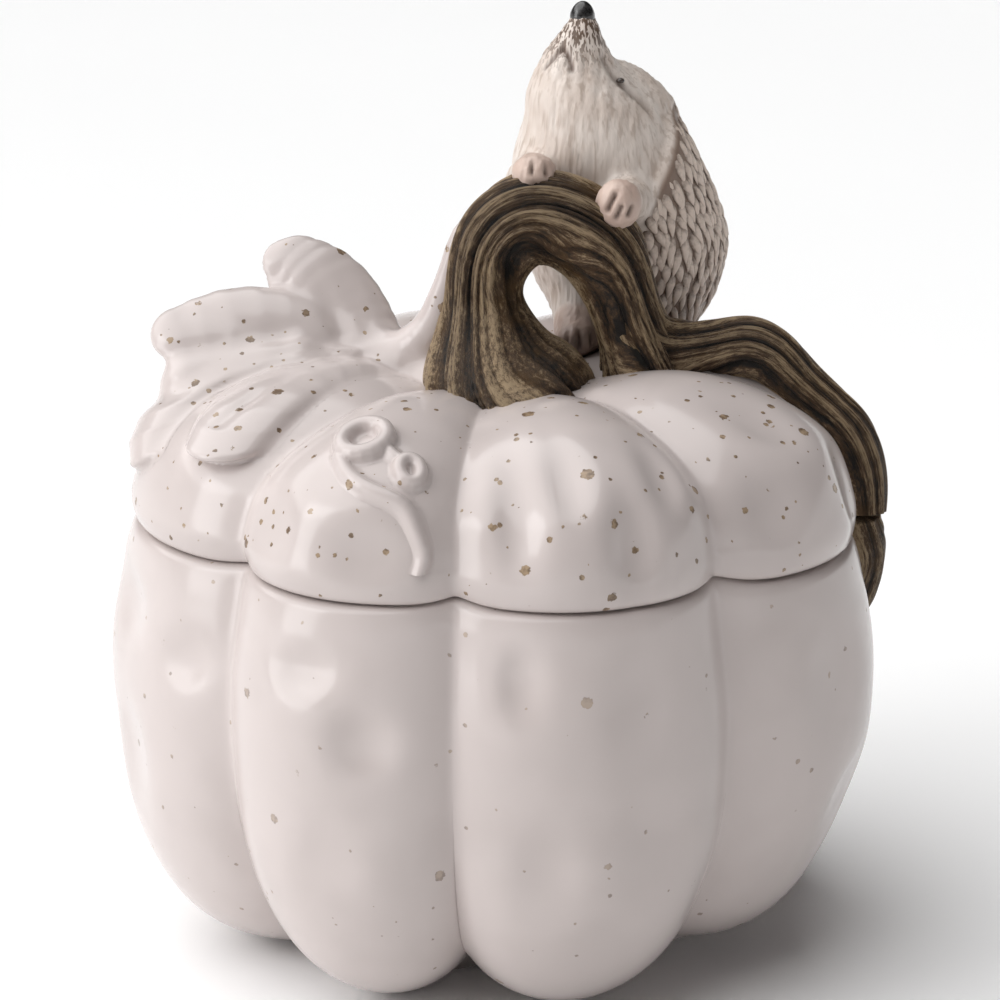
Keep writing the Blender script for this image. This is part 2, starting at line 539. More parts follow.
# --- round limbs -----------------------------------------------------------------------------------------
def limb_frames(centres):
    """Two cross directions at each point, carried along without twist."""
    tangents = unit(np.gradient(centres, axis=0))
    side = np.array([0.0, -1.0, 0.0])
    sides = []
    for tangent in tangents:
        side = unit(side - tangent * (side @ tangent))
        sides.append(side)
    return np.array(sides), np.cross(tangents, sides)


def cord_sway(along, seed):
    """Slow wandering of the cords round their limb, as an angle."""
    draw = np.random.default_rng(seed)
    sway = np.zeros_like(along)
    for _ in range(4):
        length = draw.uniform(35.0, 90.0)
        sway += draw.uniform(0.05, 0.16) * np.sin(along / length * 2 * math.pi + draw.uniform(0, 6.28))
    return sway


def cord_ridges(angle, along, cords):
    """Twisted cords with strands and fibres in them: 0 in the grooves between, 1 on top."""
    def ridge(shift, count, sharpness):
        return np.abs(np.sin((angle + shift) * count / 2.0)) ** sharpness

    main = ridge(0.0, cords, 0.42)
    strand = ridge(0.25 * np.sin(along * 0.045 + 1.3), cords * 2, 0.6)
    fine = ridge(0.1 * np.sin(along * 0.09), cords * 5, 0.8)
    return 0.62 * main + 0.20 * strand + 0.18 * fine


def grooved_limb(route, rows, columns, cords, twist, groove_share, seed):
    """Rings of a limb of twisted cords, with its material's values: `ridge` is 0 in the grooves and 1 on
    the cords, and `grain` is a place along the fibres, squeezed lengthwise."""
    line = spline(route, rows, 3)
    centres, radii = line[:, :3], line[:, 3:]
    sides, ups = limb_frames(centres)
    steps = np.linalg.norm(np.diff(centres, axis=0), axis=1)
    along = np.concatenate([[0.0], np.cumsum(steps)])[:, None]
    angle = circle(columns)[None, :]
    uneven = 0.5 * np.sin(angle * 2 + 0.7 + along * 0.01) + 0.35 * np.sin(angle * 3 + 2.1)
    turned = angle + uneven * 0.45 + twist * along + cord_sway(along, seed)
    ridge = cord_ridges(turned, along, cords)
    radius = radii * (1.0 - groove_share * (1.0 - ridge) + groove_share * 0.18)
    across = np.cos(angle)[..., None] * sides[:, None, :] + np.sin(angle)[..., None] * ups[:, None, :]
    lengthwise = np.broadcast_to(along * GRAIN_SQUEEZE, turned.shape)
    grain = np.stack([np.cos(turned) * radii, np.sin(turned) * radii, lengthwise], axis=-1)
    return centres[:, None, :] + radius[..., None] * across, {"ridge": ridge, "grain": grain}


def make_stem():
    """The arch. Its left foot spreads forward over the lid like a root."""
    loops, values = grooved_limb(STEM_ROUTE, 460, 240, cords=6, twist=0.006, groove_share=0.46, seed=21)
    left_foot = np.linspace(0.0, 1.0, len(loops))[:, None] < 0.4  # the share of the arch up to its top
    flare = smoothstep(loops[..., 2], 184.0, 162.0) * left_foot
    foot_x = STEM_ROUTE[0][0]
    loops[..., 0] = foot_x + (loops[..., 0] - foot_x) * (1.0 + 0.17 * flare)
    loops[..., 1] = loops[..., 1] * (1.0 + 0.9 * flare) - 8.0 * flare
    base = np.where(left_foot, LEFT_FOOT_BASE_Z, LID_WALL_MIDDLE_Z)
    loops[..., 2] = np.maximum(loops[..., 2], base)
    return loops_object("stem_arch", loops, values)


def make_vine():
    loops, values = grooved_limb(VINE_ROUTE, 330, 180, cords=6, twist=0.008, groove_share=0.30, seed=24)
    base = np.where(from_axis(loops) < LID_MIDDLE_RADIUS, LID_WALL_MIDDLE_Z, 0.0)
    loops[..., 2] = np.maximum(loops[..., 2], base)
    loops[..., 2] -= seam_sag(loops)
    return loops_object("vine_runner", loops, values)


def keep_in_jar_wall(points, depth):
    """Push points out so that none is deeper than `depth` under the jar's outside."""
    radius, height, groove = np.transpose(JAR_OUTSIDE)
    level = points[..., 2]
    least = np.interp(level, height, radius) - depth
    least -= np.interp(level, height, groove) * groove_dip(azimuths(points))
    points[..., :2] *= np.maximum(1.0, least / from_axis(points))[..., None]


def make_jar_tail():
    loops, values = grooved_limb(JAR_TAIL_ROUTE, 120, 120, cords=5, twist=0.01, groove_share=0.26, seed=31)
    loops[..., 2] = np.minimum(loops[..., 2], SEAM_Z)
    keep_in_jar_wall(loops, TAIL_SINK)
    loops[..., 2] -= seam_sag(loops)
    return loops_object("jar_tail", loops, values)


# --- blended shapes --------------------------------------------------------------------------------------
def grid_values(field, low, counts, step):
    """A field's values on a grid of points, worked out plane by plane."""
    x, y, z = [low[k] + step * np.arange(counts[k]) for k in range(3)]
    y, z = np.meshgrid(y, z, indexing="ij")
    values = np.empty(counts, np.float32)
    for i in range(counts[0]):
        plane = np.stack([np.full(y.shape, x[i]), y, z], axis=-1)
        values[i] = field(plane.reshape(-1, 3)).reshape(y.shape)
    return values


def cell_crossings(values, cells):
    """Per cell, the sum of the places where the surface crosses its edges, and their number."""
    def window(array, at):
        return array[at[0]:at[0] + cells[0], at[1]:at[1] + cells[1], at[2]:at[2] + cells[2]]

    inside = values < 0.0
    total = np.zeros(tuple(cells) + (3,), np.float32)
    crossings = np.zeros(tuple(cells), np.int16)
    for axis in range(3):
        for first in np.ndindex(2, 2, 2):
            if first[axis]:
                continue
            second = tuple(1 if k == axis else first[k] for k in range(3))
            value_a, value_b = window(values, first), window(values, second)
            crossed = window(inside, first) != window(inside, second)
            gap = np.where(crossed, value_a - value_b, 1.0)
            share = np.where(crossed, value_a / gap, 0.0)
            for k in range(3):
                total[..., k] += np.where(crossed, first[k] + (share if k == axis else 0.0), 0.0)
            crossings += crossed
    return total, crossings


def crossed_faces(inside, cells, numbers):
    """A quad round each grid edge that the surface crosses, wound to face outward."""
    faces = []
    for axis, one, two in ((0, 1, 2), (1, 2, 0), (2, 0, 1)):
        before = [slice(1, cells[k]) for k in range(3)]
        before[axis] = slice(0, cells[axis])
        after = list(before)
        after[axis] = slice(1, cells[axis] + 1)
        start, end = inside[tuple(before)], inside[tuple(after)]
        node = np.argwhere(start != end) + np.array([0 if k == axis else 1 for k in range(3)])
        ring = []
        for back_one, back_two in ((1, 1), (0, 1), (0, 0), (1, 0)):
            cell = node.copy()
            cell[:, one] -= back_one
            cell[:, two] -= back_two
            ring.append(numbers[tuple(cell.T)])
        ring = np.stack(ring, axis=1)
        entering = ~start[start != end]
        ring[entering] = ring[entering][:, ::-1]
        faces.append(ring)
    faces = np.concatenate(faces)
    return faces[(faces >= 0).all(axis=1)]


def field_slope(field, points, reach):
    slope = np.empty_like(points)
    for axis in range(3):
        offset = np.zeros(3)
        offset[axis] = reach
        slope[:, axis] = (field(points + offset) - field(points - offset)) / (2.0 * reach)
    return slope


def field_normals(field, points, reach):
    slope = field_slope(field, points, reach)
    return slope / np.maximum(np.linalg.norm(slope, axis=1), 1e-6)[:, None]


def onto_surface(field, points, step):
    """Moves points along the field's slope until they lie on its surface."""
    for _ in range(3):
        slope = field_slope(field, points, step * 0.2)
        move = slope * (field(points) / np.maximum((slope ** 2).sum(axis=1), 0.05))[:, None]
        length = np.linalg.norm(move, axis=1)
        points = points - move * np.minimum(1.0, step * 0.5 / np.maximum(length, 1e-9))[:, None]
    return points


def surface_net(field, low, high, step):
    """Mesh of the surface where field(points) is 0, as quads with one point per crossed cell."""
    low = np.asarray(low, float)
    cells = np.ceil((np.asarray(high, float) - low) / step).astype(int)
    values = grid_values(field, low, cells + 1, step)
    total, crossings = cell_crossings(values, cells)
    used = crossings > 0
    numbers = np.full(tuple(cells), -1, np.int64)
    numbers[used] = np.arange(used.sum())
    points = low + step * (np.argwhere(used) + total[used] / crossings[used][:, None])
    return onto_surface(field, points, step), crossed_faces(values < 0.0, cells, numbers)


def blend_min(first, second, radius):
    """Union of two fields with a fillet of about `radius`."""
    mix = np.clip(0.5 + 0.5 * (second - first) / radius, 0.0, 1.0)
    return second + (first - second) * mix - radius * mix * (1.0 - mix)


def ellipsoid_field(points, centre, size):
    local = (points - np.asarray(centre)) / np.asarray(size)
    near = np.linalg.norm(local, axis=1)
    slope = np.linalg.norm(local / np.asarray(size), axis=1)
    return near * (near - 1.0) / np.maximum(slope, 1e-6)


def segment_distance(points, start, end):
    """Distance to a segment, and the nearest place on it as a share of its length."""
    span = end - start
    share = np.clip((points - start) @ span / (span @ span), 0.0, 1.0)
    return np.linalg.norm(points - start - share[:, None] * span, axis=1), share


def line_distance(points, line):
    """Distance to a polyline."""
    segments = zip(line[:-1], line[1:])
    return np.min([segment_distance(points, start, end)[0] for start, end in segments], axis=0)


def route_field(points, route, samples, flatten=None):
    """Distance to a round limb. `flatten` is (direction, factor): it is thinner along the direction."""
    line = spline(route, samples, 3)
    if flatten is not None:
        way = unit(np.array(flatten[0]))
        stretch = np.eye(3) + (flatten[1] - 1.0) * np.outer(way, way)
        points = points @ stretch
        line[:, :3] = line[:, :3] @ stretch
    best = np.full(len(points), FAR)
    for start, end in zip(line[:-1], line[1:]):
        distance, share = segment_distance(points, start[:3], end[:3])
        best = np.minimum(best, distance - (start[3] + (end[3] - start[3]) * share))
    return best if flatten is None else best / flatten[1] ** 0.5


class LidField:
    """Distance above the lid's outer surface, from its crest profile and its grooves."""

    def __init__(self):
        self.profile = lid_profile(LID_OUTSIDE, 160)
        self.normals = profile_directions(self.profile)

    def __call__(self, points):
        radius = from_axis(points)
        height = points[:, 2] + seam_sag(points)
        best = np.full(len(points), FAR)
        index = np.zeros(len(points), int)
        for i in range(0, len(self.profile), 2):
            away = (radius - self.profile[i, 0]) ** 2 + (height - self.profile[i, 1]) ** 2
            nearer = away < best
            best[nearer] = away[nearer]
            index[nearer] = i
        nearest, normal = self.profile[index], self.normals[index]
        offset = (radius - nearest[:, 0]) * normal[:, 0] + (height - nearest[:, 1]) * normal[:, 1]
        return offset + groove_dip(azimuths(points)) * nearest[:, 2] - lid_unevenness(points)


LID_FIELD = LidField()


def lid_height(x, y):
    """Height of the lid's outer surface over a place, by bisection."""
    low, high = LID_BASE_Z + 5.0, LID_BASE_Z + 50.0
    for _ in range(30):
        middle = (low + high) / 2.0
        if LID_FIELD(np.array([[x, y, middle]]))[0] > 0.0:
            high = middle
        else:
            low = middle
    return low


def patch_object(name, points, faces, field):
    """Keeps the part of a blended surface that stands above the lid."""
    height = LID_FIELD(points)
    above = (height[faces] > 0.06).any(axis=1)
    clear_of_base = (points[faces][:, :, 2] > LID_BASE_Z + 1.0).all(axis=1)
    on_surface = (np.abs(field(points)) < DEEPEST_CREASE)[faces].all(axis=1)
    faces = faces[above & clear_of_base & on_surface]
    used = np.unique(faces)
    number = np.full(len(points), -1)
    number[used] = np.arange(len(used))
    return make_object(name, points[used], number[faces].tolist())


# --- leaf and tendril ------------------------------------------------------------------------------------
def laid_blade(route):
    """A blade's route dropped onto the lid, and the lid's own slope under its middle."""
    laid = [(x, y, lid_height(x, y) + lift, radius) for x, y, lift, radius in route]
    middle = np.array([laid[len(laid) // 2][:3]])
    return laid, field_slope(LID_FIELD, middle, 4.0)[0]


ALL_BLADES = LEAF_BLADES + tuple(laid_blade(route) + (factor,) for route, factor in LAID_BLADES)


def leaf_field(points):
    blades = [route_field(points, route, 9, (way, factor)) for route, way, factor in ALL_BLADES]
    leaf = blades[0]
    for blade in blades[1:]:
        leaf = blend_min(leaf, blade, 2.0)
    for route in LEAF_BACKING:
        leaf = blend_min(leaf, route_field(points, route, 3), 4.0)
    leaf = blend_min(leaf, route_field(points, STALK_ROUTE, 14), 4.0)
    return blend_min(leaf, LID_FIELD(points), 2.2)


def make_leaf():
    step = 0.85
    points, faces = surface_net(leaf_field, (-112, -66, 132), (-4, 44, 216), step)
    press = np.zeros(len(points))
    for line, half_width, depth in LEAF_CREASES:
        away = line_distance(points, spline(line, 30, 3)) / (half_width * 2.2)
        press += depth * np.exp(-away ** 2 * 1.6)
    clear = smoothstep(LID_FIELD(points), 0.5, 2.5)
    points = points - field_normals(leaf_field, points, 0.3) * (press * clear)[:, None]
    return patch_object("leaf", points, faces, leaf_field)


def ring_route(centre, half_x, half_y, cord):
    """Closed ring that lies on the lid."""
    route = []
    for angle in np.linspace(0.0, 2.0 * math.pi, 13):
        x = centre[0] + half_x * math.cos(angle)
        y = centre[1] + half_y * math.sin(angle)
        route.append((x, y, lid_height(x, y) + cord * 0.5, cord))
    return route


def laid_route(route):
    """A cord's route dropped onto the lid, so that the cord is partly sunk in it."""
    return [(x, y, lid_height(x, y) + cord * 0.3, cord) for x, y, cord in route]


def make_tendril():
    cords = [
        ring_route(*TENDRIL_LARGE), ring_route(*TENDRIL_SMALL),
        laid_route(TENDRIL_TAIL), laid_route(TENDRIL_LINK)]

    def field(points):
        tendril = np.min([route_field(points, cord, 20) for cord in cords], axis=0)
        return blend_min(tendril, LID_FIELD(points), 2.0)

    step = 0.55
    points, faces = surface_net(field, (-50, -106, 132), (-10, -58, 170), step)
    return patch_object("tendril", points, faces, field)


# --- hedgehog's body -------------------------------------------------------------------------------------
TORSO_TABLE = spline(TORSO_SECTIONS, 120, 3)


def torso_oval(z):
    """Middle x and y, half width and half depth of the torso at a height."""
    return [np.interp(z, TORSO_TABLE[:, 0], TORSO_TABLE[:, k]) for k in range(1, 5)]


def body_point(azimuth, z):
    """Point on the torso or head at an azimuth round its middle and a height."""
    x, y, half_x, half_y = torso_oval(z)
    way = headings(azimuth)
    return np.array([x + way[0] * half_x, y + way[1] * half_y, z])


def torso_field(points):
    z = points[:, 2]
    x, y, half_x, half_y = torso_oval(z)
    u, v = (points[:, 0] - x) / half_x, (points[:, 1] - y) / half_y
    near = np.sqrt(u * u + v * v) + 1e-6
    slope = np.sqrt((u / half_x) ** 2 + (v / half_y) ** 2) + 1e-6
    level = near * (near - 1.0) / slope
    taper = np.interp(z, TORSO_TABLE[:, 0], np.gradient(TORSO_TABLE[:, 3], TORSO_TABLE[:, 0]))
    inside = level / np.sqrt(1.0 + np.clip(taper, -2.5, 2.5) ** 2)
    beyond = np.maximum(z - TORSO_TABLE[-1, 0], TORSO_TABLE[0, 0] - z)
    return np.maximum(inside, beyond)


def back_share(points):
    """0 over the belly and face, 1 well inside the quilled back."""
    z = points[:, 2]
    middle = np.stack(torso_oval(z)[:2], axis=1)
    turned = half_turn(azimuths(points[:, :2] - middle) - BELLY_AZIMUTH)
    from_belly = np.where(turned < 0.0, -turned - COAT_TURN, turned)
    limit = np.interp(z, *np.transpose(COAT_EDGE))
    behind = smoothstep(from_belly - limit, 0.0, 12.0)
    return behind * smoothstep(z, 161.0, 166.0) * smoothstep(z, 242.0, 234.0)


def hedgehog_field(points):
    body = torso_field(points) - COAT_THICKNESS * back_share(points)
    for arm in ARMS:
        body = blend_min(body, route_field(points, arm, 4), 5.0)
    for leg in LEGS:
        body = blend_min(body, route_field(points, leg, 3), 5.0)
    for centre, size in PAWS:
        body = blend_min(body, ellipsoid_field(points, centre, size), 1.2)
    for turn in (-EAR_TURN, EAR_TURN):
        ear = body_point(FACE_AZIMUTH + turn, EAR_HEIGHT)
        body = blend_min(body, ellipsoid_field(points, ear, EAR_SIZE), 1.4)
    return blend_min(body, route_field(points, FOREHEAD, 8), 1.8)


def face_marks(points):
    """How deep and how dark each line of the face is at the points."""
    marks = []
    for line, half_width, depth, shade in FACE_LINES:
        route = spline([body_point(azimuth, z) for azimuth, z in line], 24, 3)
        near = np.exp(-(line_distance(points, route) / (half_width * 1.5)) ** 2)
        marks.append((depth * near, shade * near))
    return marks


def toe_marks(points, normals):
    """How deep and how dark each slit between toes is. The slits are only in the front of a paw."""
    squash = np.array([1.0, 0.35, 1.0])
    front = smoothstep(-normals[:, 1], 0.1, 0.5)
    marks = []
    for upper, lower, half_width, depth in TOE_SLITS:
        line = np.array([upper, lower]) * squash
        near = front * np.exp(-(line_distance(points * squash, line) / (half_width * 1.4)) ** 2)
        marks.append((depth * near, near))
    return marks


def make_hedgehog_body():
    step = 0.62
    points, faces = surface_net(hedgehog_field, (-2, -14, 154), (72, 76, 259), step)
    normals = field_normals(hedgehog_field, points, 0.25)
    depths, shades = zip(*face_marks(points), *toe_marks(points, normals))
    streak = waves(points * np.array([1.0, 1.0, 0.16]), 2.6, 0.07, 41)
    streak += waves(points * np.array([1.0, 1.0, 0.2]), 1.5, 0.07, 42)
    furry = 1.0 - back_share(points)
    points = points + normals * (streak * furry - sum(depths))[:, None]
    points[:, 2] = np.maximum(points[:, 2], LID_WALL_MIDDLE_Z)
    reach = np.min([np.linalg.norm(points - centre, axis=1) for centre, _ in PAWS], axis=0)
    paw = smoothstep(reach, 10.5, 8.0)
    values = {"carved": np.max(shades, axis=0), "back": back_share(points), "paw": paw}
    return make_object("hedgehog_body", points, faces.tolist(), values)


# --- quills, nose and eyes -------------------------------------------------------------------------------
def coat_point(azimuth, z):
    """Point on the finished body, which bulges past the torso at the forehead, and the way out of it."""
    on_torso = body_point(azimuth, z)
    outward = unit(on_torso - body_point(azimuth + 180.0, z))
    reach = np.arange(0.0, 14.0, 0.4)
    outside = hedgehog_field(on_torso + reach[:, None] * outward) >= 0.0
    return on_torso + reach[np.argmax(outside)] * outward, outward


def quill_points(azimuth, height, lean, length, half_width, lift):
    """One flat pointed quill that lies down along the coat, as rings of points from root to tip."""
    root, outward = coat_point(azimuth, height)
    below, _ = coat_point(azimuth, max(height - 6.0, 157.0))
    down = unit(below - root)
    sideways = unit(np.cross(down, outward))
    outward = np.cross(sideways, down)
    flow = down * math.cos(lean) + sideways * math.sin(lean)
    across = np.cross(outward, flow)
    along = np.linspace(0.0, 1.0, QUILL_RINGS)
    rise = lift * along ** 1.5 + 0.35 * np.sin(along * math.pi) - QUILL_ROOT_DEPTH
    spine = root + np.outer(along * length, flow) + np.outer(rise, outward)
    angle = circle(QUILL_SIDES)[None, :, None]
    section = np.cos(angle) * across + 0.62 * np.sin(angle) * outward
    return (spine[:, None, :] + (QUILL_WIDTHS * half_width)[:, None, None] * section).reshape(-1, 3)


def quill_places(draw):
    """Azimuth and height of each quill, in rows like shingles, with random unevenness."""
    for row in range(QUILL_ROWS):
        z = QUILL_FIRST_Z + QUILL_ROW_GAP * row
        girth = torso_oval(z)[2] * 2.0 * math.pi
        count = max(8, int(girth / QUILL_SPACING))
        for k in range(count):
            azimuth = 360.0 * (k + 0.5 * (row % 2) + draw.uniform(-0.22, 0.22)) / count
            height = z + draw.uniform(-0.9, 0.9)
            if back_share(body_point(azimuth, height)[None])[0] >= QUILLED_SHARE:
                yield azimuth, height


def make_quills():
    draw = np.random.default_rng(51)
    quills = []
    for azimuth, height in quill_places(draw):
        lean = draw.normal(0.0, 0.24) + 0.10 * math.sin(math.radians(azimuth - BELLY_AZIMUTH))
        length = draw.uniform(6.0, 8.6)
        half_width = draw.uniform(1.25, 1.8)
        lift = draw.uniform(0.4, 1.3)
        quills.append(quill_points(azimuth, height, lean, length, half_width, lift))
    size = QUILL_RINGS * QUILL_SIDES
    shell = grid_faces(QUILL_RINGS, QUILL_SIDES)
    shell.append(tuple(reversed(range(QUILL_SIDES))))
    shell.append(tuple(range(size - QUILL_SIDES, size)))
    faces = [tuple(first + corner for corner in face)
             for first in range(0, len(quills) * size, size) for face in shell]
    upper = np.tile(0.5 + 0.5 * np.sin(circle(QUILL_SIDES)), QUILL_RINGS)
    toward_tip = np.repeat(0.35 + 0.65 * np.linspace(0.0, 1.0, QUILL_RINGS), QUILL_SIDES)
    ridge = np.tile(upper * toward_tip, len(quills))
    return make_object("hedgehog_quills", np.concatenate(quills), faces, {"ridge": ridge})


def make_bead(name, centre, size, squeeze, seed):
    """Small rounded lump with a slightly uneven, moulded surface."""
    rows, columns = 28, 40
    polar = np.linspace(0.06, math.pi - 0.06, rows)[:, None]
    angle = circle(columns)[None, :]
    local = np.stack([
        np.sin(polar) * np.cos(angle), np.sin(polar) * np.sin(angle), -np.cos(polar) + 0 * angle], axis=-1)
    local[..., 2] += squeeze * (local[..., 0] ** 2 + local[..., 1] ** 2)
    loops = np.asarray(centre) + local * np.asarray(size)
    loops += local * waves(loops, 5.0, 0.05, seed)[..., None]
    return loops_object(name, loops)


# --- materials -------------------------------------------------------------------------------------------
class Paint:
    """A node material with the object's own millimetres as its coordinates."""

    def __init__(self, name, **constants):
        self.material = bpy.data.materials.new(name)
        self.material.use_nodes = True
        self.tree = self.material.node_tree
        self.surface = self.tree.nodes["Principled BSDF"]
        for label, value in constants.items():
            self.surface.inputs[label.replace("_", " ")].default_value = value
        self.position = self.scaled(self.add("ShaderNodeTexCoord").outputs["Object"], 1.0 / MM)

    def add(self, kind, **values):
        node = self.tree.nodes.new(kind)
        for label, value in values.items():
            if hasattr(node, label):
                setattr(node, label, value)
            else:
                node.inputs[label].default_value = value
        return node

    def feed(self, target, value):
        """Links a socket to an input, or sets the input to a constant."""
        if isinstance(value, bpy.types.NodeSocket):
            self.tree.links.new(value, target)
        else:
            target.default_value = value

    def combine(self, kind, operation, values):
        node = self.add(kind, operation=operation)
        for slot, value in enumerate(values):
            self.feed(node.inputs[slot], value)
        return node.outputs[0]

    def math(self, operation, *values):
        return self.combine("ShaderNodeMath", operation, values)

    def vector(self, operation, *values):
        return self.combine("ShaderNodeVectorMath", operation, values)

    def scaled(self, vector, factor):
        node = self.add("ShaderNodeVectorMath", operation="SCALE", Scale=factor)
        self.feed(node.inputs[0], vector)
        return node.outputs[0]

    def noise(self, size, vector=None, detail=3.0, roughness=0.55, output="Fac"):
        node = self.add("ShaderNodeTexNoise", Scale=1.0 / size, Detail=detail, Roughness=roughness)
        self.feed(node.inputs["Vector"], vector or self.position)
        return node.outputs[output]

    def attribute(self, label, output="Fac"):
        return self.add("ShaderNodeAttribute", attribute_name=label).outputs[output]

    def between(self, value, low, high):
        """Smooth step from 0 to 1 as a value goes from low to high."""
        node = self.add("ShaderNodeMapRange", interpolation_type="SMOOTHSTEP")
        node.inputs["From Min"].default_value = low
        node.inputs["From Max"].default_value = high
        self.feed(node.inputs["Value"], value)
        return node.outputs["Result"]

    def mix(self, share, first, second):
        """Colour mix. Each colour is a triple or a socket."""
        node = self.add("ShaderNodeMix", data_type="RGBA")
        self.feed(node.inputs[0], share)
        for slot, colour in ((6, first), (7, second)):
            self.feed(node.inputs[slot], colour + (1.0,) if isinstance(colour, tuple) else colour)
        return node.outputs[2]

    def bump(self, height, distance_mm, strength):
        node = self.add("ShaderNodeBump", Strength=strength, Distance=distance_mm * MM)
        self.feed(node.inputs["Height"], height)
        return node.outputs["Normal"]

    def finish(self, colour, **inputs):
        self.feed(self.surface.inputs["Base Color"], colour)
        for label, socket in inputs.items():
            self.feed(self.surface.inputs[label], socket)
        return self.material


def speckles(paint, cell, largest, chance, seed):
    """Mask of iron specks: one at most in each cell, of random size, with ragged edges."""
    ragged = paint.noise(1.0 / 1.1, detail=2.0, roughness=0.5, output="Color")
    moved = paint.vector("ADD", paint.position, paint.scaled(ragged, largest * 0.8))
    moved = paint.vector("ADD", moved, (seed * 37.0, seed * 11.0, seed * 23.0))
    cells = paint.add("ShaderNodeTexVoronoi", Scale=1.0 / cell, Randomness=1.0)
    paint.feed(cells.inputs["Vector"], moved)
    channels = paint.add("ShaderNodeSeparateColor")
    paint.feed(channels.inputs[0], cells.outputs["Color"])
    size = paint.math("POWER", channels.outputs[0], 2.2)
    size = paint.math("MULTIPLY_ADD", size, largest / cell * 0.75, largest / cell * 0.35)
    reach = paint.math("SUBTRACT", size, cells.outputs["Distance"])
    spot = paint.between(reach, 0.0, 0.22 / cell)
    here = paint.between(channels.outputs[1], 1.0 - chance, 1.0 - chance + 0.001)
    return paint.math("MULTIPLY", spot, here)


def glaze_material(name, chance, strength):
    """White glaze. `chance` is the share of cells with a speck, `strength` how dark the specks are."""
    paint = Paint(name, IOR=1.42, Coat_Weight=0.12, Coat_Roughness=0.12, Coat_IOR=1.4)
    clouds = paint.between(paint.noise(34.0, detail=2.0), 0.35, 0.68)
    colour = paint.mix(clouds, GLAZE_LIGHT, GLAZE_SHADE)
    small = speckles(paint, 4.2, 0.9, chance, 1)
    large = speckles(paint, 7.5, 1.8, chance * 0.75, 2)
    spots = paint.math("MAXIMUM", small, large)
    tone = paint.between(paint.noise(2.2, detail=2.0), 0.35, 0.65)
    speck_colour = paint.mix(tone, SPECK_DARK, SPECK_LIGHT)
    colour = paint.mix(paint.math("MULTIPLY", spots, strength), colour, speck_colour)
    roughness = paint.math("MULTIPLY_ADD", paint.noise(20.0, detail=1.0), 0.04, 0.16)
    ripple = paint.bump(paint.noise(9.0, detail=0.0), 0.08, 0.4)
    return paint.finish(colour, Roughness=roughness, Normal=ripple)


def stem_material():
    """Brown stain, nearly black in the grooves and tan on the cords."""
    paint = Paint("stem_glaze", IOR=1.45, Coat_Weight=0.06, Coat_Roughness=0.3)
    fibres = paint.noise(0.5, paint.attribute("grain", "Vector"), detail=5.0, roughness=0.85)
    blotches = paint.noise(7.0)
    tone = paint.math("MULTIPLY_ADD", fibres, 3.4, paint.math("MULTIPLY", paint.attribute("ridge"), 2.3))
    tone = paint.math("MULTIPLY_ADD", blotches, 1.0, paint.math("SUBTRACT", tone, 3.65))
    colour = paint.mix(paint.between(tone, -0.45, 0.30), STAIN_BLACK, STAIN_BROWN)
    ochre = paint.between(paint.noise(15.0, detail=2.0), 0.50, 0.68)
    colour = paint.mix(paint.math("MULTIPLY", ochre, 0.6), colour, STAIN_OCHRE)
    colour = paint.mix(paint.between(tone, 0.20, 0.95), colour, STAIN_TAN)
    roughness = paint.math("MULTIPLY_ADD", fibres, 0.2, 0.36)
    return paint.finish(colour, Roughness=roughness, Normal=paint.bump(fibres, 0.9, 1.3))


def fur_material():
    """Cream fur with darker strokes, a dark muzzle, bare paws and a brown coat under the quills."""
    paint = Paint("fur_glaze", IOR=1.45, Coat_Weight=0.1, Coat_Roughness=0.3)
    upright = paint.vector("MULTIPLY", paint.position, (1.0, 1.0, 0.10))
    soft = paint.noise(1.7, upright, detail=2.0, roughness=0.6)
    upright = paint.vector("MULTIPLY", paint.position, (1.0, 1.0, 0.13))
    strokes = paint.noise(0.75, upright, detail=1.5, roughness=0.5)
    height = paint.add("ShaderNodeSeparateXYZ")
    paint.feed(height.inputs[0], paint.position)
    muzzle = paint.between(height.outputs["Z"], 237.0, 252.0)
    cloud = paint.between(paint.noise(13.0, detail=2.0), 0.35, 0.65)
    colour = paint.mix(cloud, FUR_SHADE, FUR_LIGHT)
    soft_share = paint.math("MULTIPLY", paint.between(soft, 0.48, 0.68), 0.5)
    colour = paint.mix(soft_share, colour, FUR_STROKE)
    dense = paint.between(paint.math("MULTIPLY_ADD", muzzle, 0.11, strokes), 0.55, 0.63)
    colour = paint.mix(paint.math("MULTIPLY", dense, muzzle), colour, FUR_MUZZLE)
    bare = paint.mix(cloud, PAW_SHADE, PAW_LIGHT)
    colour = paint.mix(paint.attribute("paw"), colour, bare)
    colour = paint.mix(paint.attribute("carved"), colour, CARVED_BROWN)
    colour = paint.mix(paint.between(paint.attribute("back"), 0.5, 1.0), colour, COAT_BROWN)
    roughness = paint.math("MULTIPLY_ADD", soft, 0.2, 0.32)
    return paint.finish(colour, Roughness=roughness, Normal=paint.bump(soft, 0.35, 0.7))


def quill_material():
    """Brown at the root and underneath, cream on the raised middle of each quill."""
    paint = Paint("quill_glaze", IOR=1.45, Coat_Weight=0.08, Coat_Roughness=0.35)
    grain = paint.noise(1.3, detail=4.0)
    lifted = paint.math("MULTIPLY_ADD", grain, 0.5, paint.math("SUBTRACT", paint.attribute("ridge"), 0.25))
    colour = paint.mix(paint.between(lifted, 0.18, 0.66), QUILL_ROOT, QUILL_TOP)
    roughness = paint.math("MULTIPLY_ADD", grain, 0.2, 0.38)
    return paint.finish(colour, Roughness=roughness, Normal=paint.bump(grain, 0.25, 0.7))


